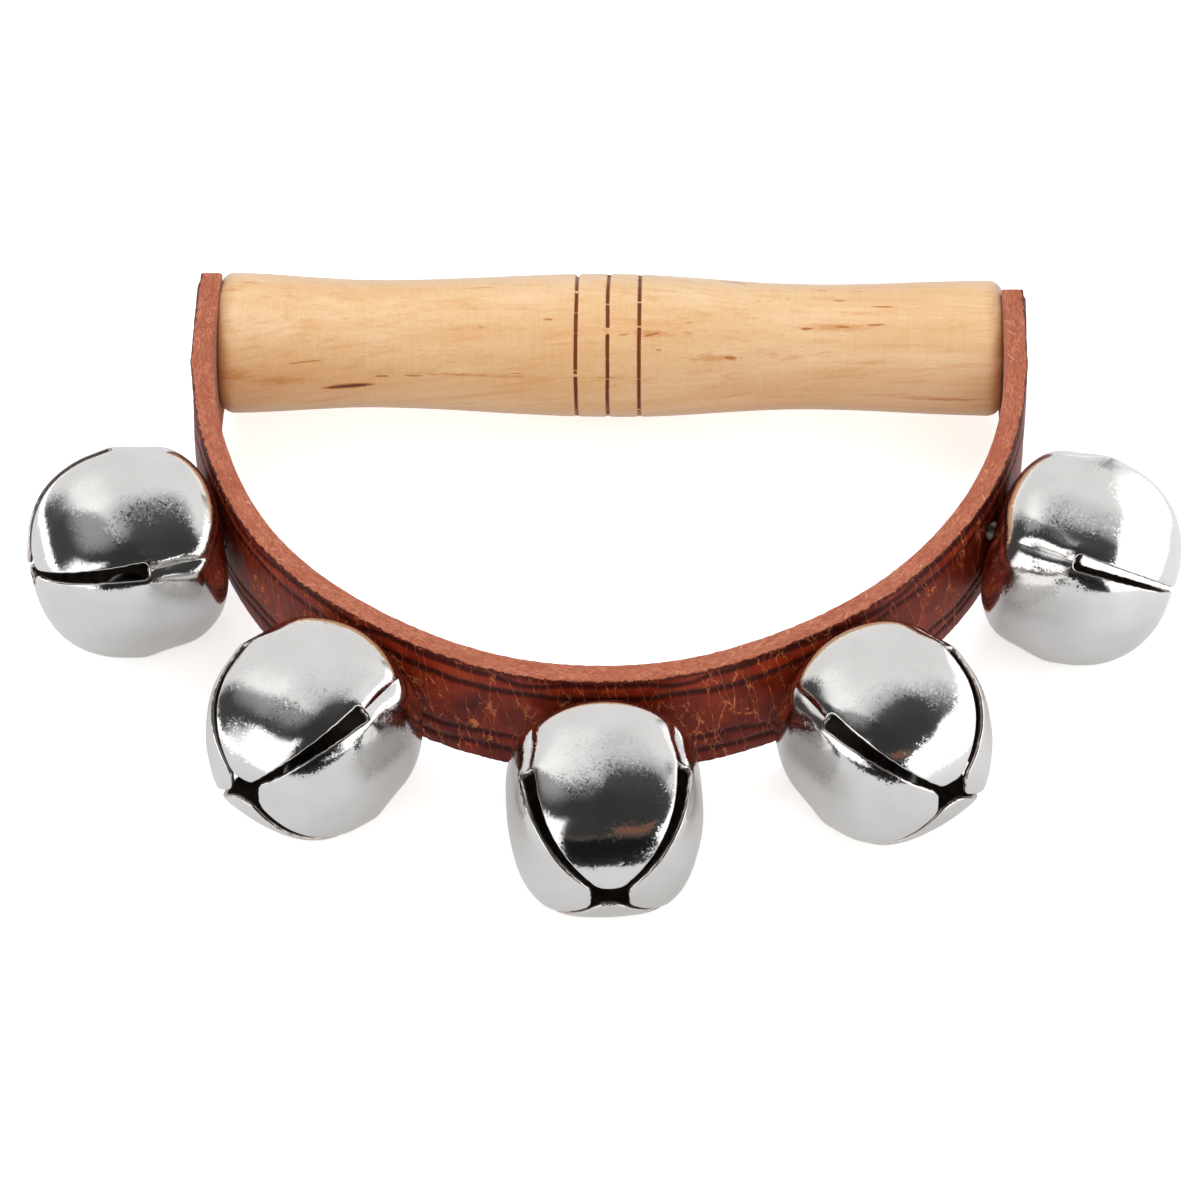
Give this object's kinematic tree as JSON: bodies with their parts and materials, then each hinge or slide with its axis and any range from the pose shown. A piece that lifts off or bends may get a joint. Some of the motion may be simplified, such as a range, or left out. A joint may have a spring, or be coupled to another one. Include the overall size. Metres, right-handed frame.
{
  "type": "hand-held sleigh bells",
  "caption": "Hand-held sleigh bells: a turned wooden grip across a D-shaped leather strap with slit metal jingle bells riveted round its outside.",
  "frame": {"origin": "the middle of the wooden grip, on its axis", "axes": "+X along the grip to its right-hand end, -Y from the grip towards the bells, +Z along the strap's width, up when the object lies flat"},
  "size_m": [0.1727, 0.1166, 0.0336],
  "materials": {
    "maple": "satin",
    "leather": "semi-gloss, crackled grain side with a raw cut edge",
    "nickel": "polished nickel plate",
    "ball_steel": "satin",
    "rivet_steel": "nickel plated, satin",
    "zinc_steel": "zinc plated, satin"
  },
  "bodies": {
    "grip": {"handle": "maple", "screw_left": "zinc_steel", "screw_right": "zinc_steel"},
    "strap": {"strap": "leather", "bell_rivet_1": "rivet_steel", "bell_rivet_2": "rivet_steel", "bell_rivet_3": "rivet_steel", "bell_rivet_4": "rivet_steel", "bell_rivet_5": "rivet_steel", "rivet_washer_1": "rivet_steel", "rivet_washer_2": "rivet_steel", "rivet_washer_3": "rivet_steel", "rivet_washer_4": "rivet_steel", "rivet_washer_5": "rivet_steel"},
    "bell_1": {"bell_1": "nickel"},
    "bell_2": {"bell_2": "nickel"},
    "bell_3": {"bell_3": "nickel"},
    "bell_4": {"bell_4": "nickel"},
    "bell_5": {"bell_5": "nickel"},
    "pellet_1": {"pellet_1": "ball_steel"},
    "pellet_2": {"pellet_2": "ball_steel"},
    "pellet_3": {"pellet_3": "ball_steel"},
    "pellet_4": {"pellet_4": "ball_steel"},
    "pellet_5": {"pellet_5": "ball_steel"}
  },
  "joints": [
    {"name": "strap_turn", "type": "hinge", "parent": "grip", "child": "strap", "pos_m": [0, 0, 0], "axis": [1, 0, 0], "continuous": true},
    {"name": "bell_1_swivel", "type": "hinge", "parent": "strap", "child": "bell_1", "pos_m": [-0.05787, -0.03958, 0], "axis": [-0.9481, -0.3081, 0.0785], "continuous": true},
    {"name": "bell_2_swivel", "type": "hinge", "parent": "strap", "child": "bell_2", "pos_m": [-0.03384, -0.06675, 0], "axis": [-0.6076, -0.7919, 0.061], "continuous": true},
    {"name": "bell_3_swivel", "type": "hinge", "parent": "strap", "child": "bell_3", "pos_m": [0, -0.07645, -0.0007], "axis": [0.0695, -0.9938, -0.0872], "continuous": true},
    {"name": "bell_4_swivel", "type": "hinge", "parent": "strap", "child": "bell_4", "pos_m": [0.03336, -0.06704, 0.0003], "axis": [0.6142, -0.7861, 0.0698], "continuous": true},
    {"name": "bell_5_swivel", "type": "hinge", "parent": "strap", "child": "bell_5", "pos_m": [0.05787, -0.03958, 0.0025], "axis": [0.9495, -0.2813, -0.1392], "continuous": true},
    {"name": "pellet_1_roll", "type": "hinge", "parent": "bell_1", "child": "pellet_1", "pos_m": [-0.05787, -0.03958, 0], "axis": [-0.9481, -0.3081, 0.0785], "continuous": true},
    {"name": "pellet_2_roll", "type": "hinge", "parent": "bell_2", "child": "pellet_2", "pos_m": [-0.03384, -0.06675, 0], "axis": [-0.6076, -0.7919, 0.061], "continuous": true},
    {"name": "pellet_3_roll", "type": "hinge", "parent": "bell_3", "child": "pellet_3", "pos_m": [0, -0.07645, -0.0007], "axis": [0.0695, -0.9938, -0.0872], "continuous": true},
    {"name": "pellet_4_roll", "type": "hinge", "parent": "bell_4", "child": "pellet_4", "pos_m": [0.03336, -0.06704, 0.0003], "axis": [0.6142, -0.7861, 0.0698], "continuous": true},
    {"name": "pellet_5_roll", "type": "hinge", "parent": "bell_5", "child": "pellet_5", "pos_m": [0.05787, -0.03958, 0.0025], "axis": [0.9495, -0.2813, -0.1392], "continuous": true}
  ]
}
